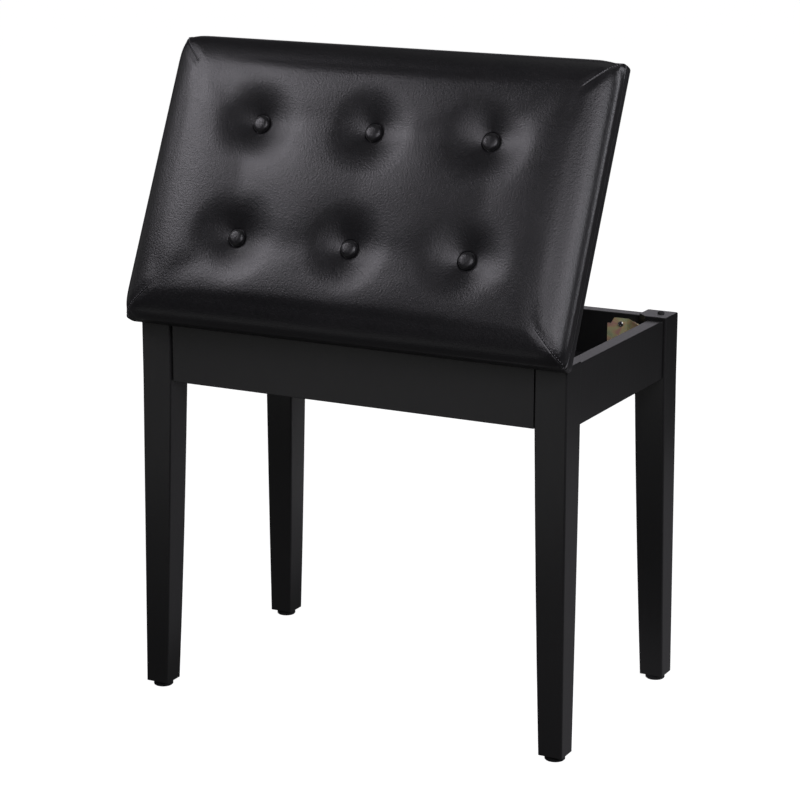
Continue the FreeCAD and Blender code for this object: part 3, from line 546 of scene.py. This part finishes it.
def outline(half_x, half_y, radius, pitch):
    """Points and outward directions round a rectangle with rounded corners."""
    points = []
    steps = 7
    for cx, cy, a0 in ((1, -1, -90), (1, 1, 0), (-1, 1, 90), (-1, -1, 180)):
        for k in range(steps + 1):
            a = math.radians(a0 + 90 * k / steps)
            points.append((cx * (half_x - radius) + radius * math.cos(a),
                           cy * (half_y - radius) + radius * math.sin(a), math.cos(a), math.sin(a)))
        x, y, nx, ny = points[-1]
        far = 2 * (half_y - radius) if cx * cy < 0 else 2 * (half_x - radius)
        count = max(1, int(far / pitch))
        for k in range(1, count):
            points.append((x - ny * far * k / count, y + nx * far * k / count, nx, ny))
    return points


def board_wrap():
    """Strip of leather from under the cushion, down the board's edge and under it."""
    points = outline(HALF_X, HALF_Y, BOARD_CORNER, 4 * MM)
    verts, faces = [], []
    travel = 0.0
    last_x, last_y = points[0][:2]
    for x, y, nx, ny in points:
        travel += math.hypot(x - last_x, y - last_y)
        last_x, last_y = x, y
        corner = (max(0.0, 1 - (HALF_X - abs(x)) / FOLD_REACH)
                  * max(0.0, 1 - (HALF_Y - abs(y)) / FOLD_REACH))
        pull = 0.5 + 0.5 * math.cos(2 * math.pi * travel / PUCKER_PITCH)
        for outward, up in WRAP_SECTION:
            if outward < -3.0:
                far = -outward * MM
                px, py = x * (HALF_X - far) / HALF_X, y * (HALF_Y - far) / HALF_Y
                ripple = (0.10 * pull * math.exp(-((far - 18 * MM) / (9 * MM)) ** 2)
                          + 0.12 * corner * math.cos(far / FOLD_PITCH))
            else:
                dent = 0.10 * pull if 2 < up < 9.5 else 0.0
                px, py = x + nx * (outward - dent) * MM, y + ny * (outward - dent) * MM
                ripple = 0.0
            verts.append((px, py + MID_Y, WRAP_LEVEL + (up + ripple) * MM))
    n, m = len(points), len(WRAP_SECTION)
    for i in range(n):
        for k in range(m - 1):
            a, b = i * m, ((i + 1) % n) * m
            faces.append([a + k, a + k + 1, b + k + 1, b + k])
    return new_object("cover_edge_wrap", verts, faces)


# ---- covered buttons ----
# Radius and height from the button's middle outwards and down under its rim, in mm.
BUTTON_PROFILE = [(0.0, 5.3), (1.8, 5.28), (3.4, 5.22), (4.9, 5.1), (6.3, 4.87), (7.5, 4.5), (8.5, 3.9),
                  (9.2, 3.15), (9.65, 2.3), (9.9, 1.4), (9.95, 0.5), (9.5, -0.2), (8.5, -0.6), (6.5, -0.75),
                  (3.0, -0.8)]
GATHERS = 18                # small pleats round the rim
GATHER_DEPTH = 0.10         # in mm
GATHER_TOP = 3.0            # the pleats end at this height, in mm


def button_shape():
    """Covered button round the origin: leather drawn over a domed shell and gathered under its rim."""
    sides = 72
    verts, faces = [(0, 0, BUTTON_PROFILE[0][1] * MM)], []
    for r, z in BUTTON_PROFILE[1:]:
        for m in range(sides):
            a = 2 * math.pi * m / sides
            gather = GATHER_DEPTH * max(0.0, 1 - z / GATHER_TOP) * math.cos(GATHERS * a)
            grow = (r + gather) * MM
            verts.append((grow * math.cos(a), grow * math.sin(a), z * MM))
    for m in range(sides):
        faces.append([0, 1 + m, 1 + (m + 1) % sides])
    rows = len(BUTTON_PROFILE) - 1
    for k in range(rows - 1):
        for m in range(sides):
            n = (m + 1) % sides
            a, b = 1 + k * sides, 1 + (k + 1) * sides
            faces.append([a + m, b + m, b + n, a + n])
    faces.append([1 + (rows - 1) * sides + m for m in range(sides)][::-1])
    return verts, faces


def covered_buttons():
    """The six buttons, each turned and tilted a little differently."""
    shape, shape_faces = button_shape()
    verts, faces = [], []
    for k, (x, y) in enumerate(BUTTONS):
        lean_x = Matrix.Rotation(math.radians(2.2 * math.cos(2.1 * k)), 4, "X")
        lean_y = Matrix.Rotation(math.radians(2.0 * math.sin(1.7 * k)), 4, "Y")
        turn = Matrix.Rotation(0.9 * k, 4, "Z")
        place = Matrix.Translation((x, y + MID_Y, BUTTON_BASE)) @ lean_x @ lean_y @ turn
        faces += [[i + len(verts) for i in f] for f in shape_faces]
        verts += [place @ Vector(v) for v in shape]
    return new_object("covered_buttons", verts, faces)


refine_tufts(cushion)
refine_seams(cushion)
subdivide(cushion)
fit_height(cushion)
even_roll(cushion)
press_tufts(cushion)
hang_lip(cushion)
press_seams(cushion)
stitches = corner_stitches(cushion)
wrap = board_wrap()
buttons = covered_buttons()
for piece in (cushion, stitches, wrap, buttons):
    to_open(piece)
    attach(piece, "lid")
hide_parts("seat_cover", "seat_foam")
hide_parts("seat_cover")
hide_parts("tuft_buttons")


# ---- materials ----
class Surface:
    """Small builder for a procedural material round one Principled shader."""

    def __init__(self, name, roughness=0.5, metallic=0.0, **inputs):
        self.material = bpy.data.materials.new(name)
        self.material.use_nodes = True
        self.tree = self.material.node_tree
        self.tree.nodes.clear()
        self.shader = self.node("ShaderNodeBsdfPrincipled")
        output = self.node("ShaderNodeOutputMaterial")
        self.link(self.shader.outputs[0], output.inputs["Surface"])
        self.set("Roughness", roughness)
        self.set("Metallic", metallic)
        for key, value in inputs.items():
            self.set(key.replace("_", " "), value)
        self.coords = self.node("ShaderNodeTexCoord").outputs["Object"]

    def node(self, kind, **values):
        made = self.tree.nodes.new(kind)
        for key, value in values.items():
            setattr(made, key, value)
        return made

    def link(self, a, b):
        self.tree.links.new(a, b)

    def set(self, socket, value):
        self.shader.inputs[socket].default_value = value

    def scaled(self, x, y, z):
        """Object coordinates stretched by three factors."""
        mapping = self.node("ShaderNodeMapping")
        mapping.inputs["Scale"].default_value = (x, y, z)
        self.link(self.coords, mapping.inputs["Vector"])
        return mapping.outputs[0]

    def noise(self, scale, detail=3.0, rough=0.5, vector=None, distortion=0.0):
        made = self.node("ShaderNodeTexNoise")
        made.inputs["Scale"].default_value = scale
        made.inputs["Detail"].default_value = detail
        made.inputs["Roughness"].default_value = rough
        made.inputs["Distortion"].default_value = distortion
        self.link(vector or self.coords, made.inputs["Vector"])
        return made.outputs[0]

    def cells(self, scale, feature="F1", randomness=1.0):
        made = self.node("ShaderNodeTexVoronoi", feature=feature)
        made.inputs["Scale"].default_value = scale
        made.inputs["Randomness"].default_value = randomness
        self.link(self.coords, made.inputs["Vector"])
        return made.outputs["Distance"]

    def ramp(self, value, stops):
        """Colours or greys along a value: stops are (position, colour)."""
        made = self.node("ShaderNodeValToRGB")
        elements = made.color_ramp.elements
        while len(elements) < len(stops):
            elements.new(0.5)
        for element, (position, colour) in zip(elements, stops):
            element.position = position
            rgb = colour if hasattr(colour, "__len__") else (colour,) * 3
            element.color = (*rgb, 1.0)
        self.link(value, made.inputs["Fac"])
        return made.outputs["Color"]

    def sum(self, parts):
        """Weighted sum of values."""
        total = None
        for value, weight in parts:
            scaled = self.node("ShaderNodeMath", operation="MULTIPLY")
            self.link(value, scaled.inputs[0])
            scaled.inputs[1].default_value = weight
            if total is None:
                total = scaled.outputs[0]
            else:
                added = self.node("ShaderNodeMath", operation="ADD")
                self.link(total, added.inputs[0])
                self.link(scaled.outputs[0], added.inputs[1])
                total = added.outputs[0]
        return total

    def bump(self, height, distance, strength):
        """Relief along a height value, distance in metres. Gives the surface back, to end a recipe."""
        made = self.node("ShaderNodeBump")
        made.inputs["Strength"].default_value = strength
        made.inputs["Distance"].default_value = distance
        self.link(height, made.inputs["Height"])
        self.link(made.outputs["Normal"], self.shader.inputs["Normal"])
        return self

    def feed(self, socket, value):
        self.link(value, self.shader.inputs[socket])


def leather():
    s = Surface("black_leather", Specular_IOR_Level=0.5, Sheen_Weight=0.06, Sheen_Roughness=0.5)
    pebble = s.cells(460, "SMOOTH_F1")
    crease = s.cells(380, "DISTANCE_TO_EDGE")
    fine = s.noise(1300, 2.0)
    broad = s.noise(9, 4.0, 0.6)
    mottle = s.noise(240, 3.0)
    s.feed("Base Color", s.ramp(s.sum([(broad, 0.6), (mottle, 0.4)]),
                                [(0.35, (0.0042, 0.0041, 0.0047)), (0.65, (0.0064, 0.0062, 0.0070))]))
    s.feed("Roughness", s.ramp(s.sum([(mottle, 0.5), (broad, 0.5)]), [(0.35, 0.33), (0.65, 0.38)]))
    edges = s.ramp(crease, [(0.0, 0.0), (0.35, 1.0)])
    return s.bump(s.sum([(pebble, -0.5), (edges, 0.2), (fine, 0.2)]), 0.00032, 0.75).material


def lacquer():
    s = Surface("black_lacquer", Coat_Weight=0.25, Coat_Roughness=0.22)
    grain = s.noise(60, 4.0, 0.55, s.scaled(6, 6, 0.5))
    orange_peel = s.noise(520, 2.0)
    broad = s.noise(5, 3.0)
    s.feed("Base Color", s.ramp(broad, [(0.3, (0.0125, 0.0125, 0.0125)), (0.7, (0.0165, 0.0165, 0.0165))]))
    s.feed("Roughness", s.ramp(s.sum([(grain, 0.6), (broad, 0.4)]), [(0.3, 0.30), (0.7, 0.40)]))
    return s.bump(s.sum([(grain, 0.6), (orange_peel, 0.4)]), 0.00008, 0.35).material


def yellow_zinc():
    s = Surface("yellow_zinc", metallic=0.35)
    cloud = s.noise(55, 3.0, 0.6, distortion=0.8)
    fine = s.noise(900, 3.0)
    s.feed("Base Color", s.ramp(cloud, [(0.30, (0.60, 0.70, 0.42)), (0.44, (0.80, 0.80, 0.44)),
                                        (0.54, (0.90, 0.70, 0.38)), (0.62, (0.85, 0.46, 0.38)),
                                        (0.70, (0.55, 0.70, 0.52))]))
    s.feed("Roughness", s.ramp(s.sum([(fine, 0.5), (cloud, 0.5)]), [(0.3, 0.24), (0.7, 0.42)]))
    return s.bump(fine, 0.00005, 0.5).material


def bright_zinc():
    s = Surface("bright_zinc", metallic=1.0)
    cloud = s.noise(160, 3.0, 0.6)
    fine = s.noise(1800, 2.0)
    s.feed("Base Color", s.ramp(cloud, [(0.3, (0.50, 0.51, 0.54)), (0.7, (0.70, 0.71, 0.73))]))
    s.feed("Roughness", s.ramp(fine, [(0.3, 0.20), (0.7, 0.36)]))
    return s.bump(fine, 0.00003, 0.5).material


def black_steel():
    s = Surface("black_steel", Coat_Weight=0.2, Coat_Roughness=0.3)
    speck = s.noise(1400, 3.0)
    broad = s.noise(30, 3.0)
    s.feed("Base Color", s.ramp(broad, [(0.3, (0.016, 0.016, 0.017)), (0.7, (0.030, 0.030, 0.031))]))
    s.feed("Roughness", s.ramp(speck, [(0.3, 0.34), (0.7, 0.50)]))
    return s.bump(speck, 0.00006, 0.6).material


def rubber():
    s = Surface("black_rubber")
    grain = s.noise(1500, 3.0)
    broad = s.noise(70, 2.0)
    s.feed("Base Color", s.ramp(broad, [(0.3, (0.012, 0.012, 0.012)), (0.7, (0.022, 0.022, 0.022))]))
    s.feed("Roughness", s.ramp(grain, [(0.3, 0.62), (0.7, 0.80)]))
    return s.bump(grain, 0.00005, 0.6).material


def plastic():
    s = Surface("black_plastic")
    grain = s.cells(1600)
    broad = s.noise(60, 3.0)
    s.feed("Base Color", s.ramp(broad, [(0.3, (0.012, 0.012, 0.013)), (0.7, (0.020, 0.020, 0.021))]))
    s.feed("Roughness", s.ramp(s.sum([(grain, 0.5), (broad, 0.5)]), [(0.2, 0.38), (0.7, 0.55)]))
    return s.bump(grain, 0.00005, 0.5).material


def lining():
    s = Surface("lining_fabric", roughness=0.9, Sheen_Weight=0.25, Sheen_Roughness=0.5)
    one = s.noise(420, 3.0, 0.6, s.scaled(1, 6, 3), 1.2)
    other = s.noise(420, 3.0, 0.6, s.scaled(6, 1, 1), 1.2)
    dots = s.cells(620, randomness=0.15)
    fibres = s.sum([(one, 0.5), (other, 0.5)])
    s.feed("Base Color", s.ramp(fibres, [(0.35, (0.012, 0.012, 0.013)), (0.65, (0.040, 0.040, 0.043))]))
    return s.bump(s.sum([(fibres, 0.7), (dots, 0.5)]), 0.0002, 0.7).material


def plywood():
    s = Surface("plywood")
    grain = s.noise(26, 5.0, 0.6, s.scaled(1, 9, 9), 0.6)
    pore = s.noise(700, 2.0, 0.6, s.scaled(0.12, 1, 1))
    tones = [(0.3, (0.36, 0.24, 0.13)), (0.5, (0.52, 0.38, 0.23)), (0.7, (0.64, 0.50, 0.33))]
    s.feed("Base Color", s.ramp(s.sum([(grain, 0.75), (pore, 0.25)]), tones))
    s.feed("Roughness", s.ramp(pore, [(0.3, 0.60), (0.7, 0.78)]))
    return s.bump(s.sum([(grain, 0.4), (pore, 0.6)]), 0.0002, 0.6).material


def black_panel():
    s = Surface("panel_black")
    fibre = s.noise(380, 4.0, 0.65, s.scaled(1, 2.5, 1))
    broad = s.noise(12, 3.0)
    s.feed("Base Color", s.ramp(s.sum([(broad, 0.5), (fibre, 0.5)]),
                                [(0.3, (0.010, 0.010, 0.011)), (0.7, (0.020, 0.020, 0.021))]))
    s.feed("Roughness", s.ramp(fibre, [(0.3, 0.52), (0.7, 0.68)]))
    return s.bump(fibre, 0.00008, 0.5).material


def cord():
    s = Surface("cord", roughness=0.8)
    twist = s.node("ShaderNodeTexWave", wave_type="BANDS", bands_direction="DIAGONAL")
    twist.inputs["Scale"].default_value = 420
    s.link(s.coords, twist.inputs["Vector"])
    fuzz = s.noise(2600, 3.0)
    s.feed("Base Color", s.ramp(fuzz, [(0.3, (0.03, 0.03, 0.03)), (0.7, (0.07, 0.07, 0.07))]))
    return s.bump(s.sum([(twist.outputs["Fac"], 0.7), (fuzz, 0.3)]), 0.0003, 0.8).material


def thread():
    s = Surface("seam_thread_painted_sheen")
    twist = s.noise(2400, 2.0)
    # The thread is black; its grey base colour is painted sheen, standing for the light dots that the thread's
    # gloss gives.
    s.feed("Base Color", s.ramp(twist, [(0.3, (0.13, 0.13, 0.135)), (0.7, (0.24, 0.24, 0.25))]))
    s.feed("Roughness", s.ramp(twist, [(0.3, 0.42), (0.7, 0.60)]))
    return s.bump(twist, 0.00008, 0.6).material


materials = {
    "black_lacquer": lacquer(),
    "black_leather": leather(),
    "plywood": plywood(),
    "panel_black": black_panel(),
    "lining_fabric": lining(),
    "yellow_zinc": yellow_zinc(),
    "bright_zinc": bright_zinc(),
    "black_steel": black_steel(),
    "black_rubber": rubber(),
    "black_plastic": plastic(),
    "cord": cord(),
}


def dress(obj, material):
    """Gives the whole object one material."""
    obj.data.materials.clear()
    obj.data.materials.append(material)
    obj.data.polygons.foreach_set("material_index", [0] * len(obj.data.polygons))


for row in frame["record"]["subparts"]:
    node = frame["nodes"][row["node"]]
    if row["material_slot"] in materials and not node.hide_render:
        dress(node, materials[row["material_slot"]])
for piece in (cushion, wrap, buttons):
    dress(piece, materials["black_leather"])
dress(stitches, thread())


# ---- floor, light, camera ----
def disc(name, radius):
    """Flat round disc at floor level."""
    sides = 96
    angles = [2 * math.pi * k / sides for k in range(sides)]
    verts = [(0, 0, 0)] + [(radius * math.cos(a), radius * math.sin(a), 0) for a in angles]
    faces = [[0, 1 + k, 1 + (k + 1) % sides] for k in range(sides)]
    return new_object(name, verts, faces, smooth=False)


floor = disc("floor", 14.0)
paper = Surface("floor_paper", roughness=0.9, Emission_Color=(1, 1, 1, 1))
paper.feed("Base Color", paper.ramp(paper.noise(3, 2.0), [(0.3, 0.38), (0.7, 0.40)]))
spread = paper.node("ShaderNodeTexGradient", gradient_type="SPHERICAL")
paper.link(paper.scaled(0.55, 0.55, 0.55), spread.inputs["Vector"])
paper.feed("Emission Strength", paper.ramp(spread.outputs["Fac"], [(0.0, 1.0), (0.55, 0.94)]))
dress(floor, paper.material)
floor.visible_glossy = False
floor.visible_diffuse = False
floor.visible_shadow = False

world = bpy.data.worlds.new("studio")
bpy.context.scene.world = world
world.use_nodes = True
world.node_tree.nodes["Background"].inputs["Color"].default_value = (1, 1, 1, 1)
world.node_tree.nodes["Background"].inputs["Strength"].default_value = 1.0
world.cycles_visibility.diffuse = False
world.cycles_visibility.glossy = False


def softbox(name, azimuth, elevation, distance, width, height, power, target=(0, 0, 0.5), colour=(1, 1, 1)):
    """Area light at a direction from the target, measured from +X towards +Y."""
    a, e = math.radians(azimuth), math.radians(elevation)
    way = Vector((math.cos(a) * math.cos(e), math.sin(a) * math.cos(e), math.sin(e)))
    data = bpy.data.lights.new(name, "AREA")
    data.shape = "RECTANGLE"
    data.size = width
    data.size_y = height
    data.energy = power
    data.color = colour
    light = bpy.data.objects.new(name, data)
    light.location = Vector(target) + way * distance
    light.rotation_mode = "QUATERNION"
    light.rotation_quaternion = way.to_track_quat("Z", "Y")
    light.visible_camera = False
    bpy.context.scene.collection.objects.link(light)


VIOLET = (0.955, 0.92, 1.0)
COOL = (0.94, 0.93, 1.0)
softbox("key_left", -134, 34, 1.35, 0.55, 0.55, 5.2, (-0.2, -0.05, 0.72), VIOLET)
softbox("fill_left", -150, 30, 1.2, 0.5, 0.5, 1.5, (-0.2, -0.05, 0.72), VIOLET)
softbox("strip_right", -38, 24, 2.0, 0.5, 1.3, 9.4, colour=COOL)
softbox("strip_middle", -58, 30, 2.0, 0.4, 1.0, 7.2, colour=VIOLET)
softbox("strip_front", -70, 28, 1.6, 0.3, 0.8, 1.5, (0.1, -0.05, 0.6), VIOLET)
softbox("strip_edge", -92, 28, 1.2, 0.25, 0.6, 2.0, (0.24, -0.12, 0.52), VIOLET)
softbox("side_left", 180, 15, 2.5, 1.0, 1.6, 1.1, (0, 0, 0.4))
softbox("side_right", 20, 25, 2.5, 1.0, 1.6, 27, (0.27, 0, 0.4), COOL)
softbox("overhead", 90, 80, 2.6, 2.0, 2.0, 4.4)
softbox("backdrop", 117, 14, 3.0, 1.4, 0.9, 2.0, (0.2, 0, 0.45), VIOLET)
FROM_BELOW = -89.9          # what a pale floor sends up, a hair off plumb so that the turn is defined
softbox("floor_right", 0, FROM_BELOW, 1.0, 1.4, 1.4, 0.8, (0.6, 0.6, 0.95), VIOLET)
softbox("floor_front", 0, FROM_BELOW, 1.0, 1.3, 1.3, 2.1, (-0.8, -1.75, 0.95))
softbox("floor_back", 0, FROM_BELOW, 1.0, 1.2, 1.2, 9.0, (-0.7, 1.3, 0.95))
softbox("floor_bounce", -90, FROM_BELOW, 1.2, 9.0, 9.0, 10.5)

camera_data = bpy.data.cameras.new("camera")
camera_data.lens = 117.57
camera_data.sensor_width = 36.0
camera_data.clip_start = 0.05
camera_data.clip_end = 60.0
camera = bpy.data.objects.new("camera", camera_data)
camera_place = Vector((1.3494, -2.6282, 1.0935))
camera_up = Vector((-0.11469, 0.21668, 0.96948))
camera_way = Vector((-0.44661, 0.86049, -0.24515))
camera_axes = Matrix((camera_way.cross(camera_up), camera_up, -camera_way)).transposed()
camera.matrix_world = Matrix.Translation(camera_place) @ camera_axes.to_4x4()
bpy.context.scene.collection.objects.link(camera)
bpy.context.scene.camera = camera
bpy.context.scene.view_settings.view_transform = "Standard"
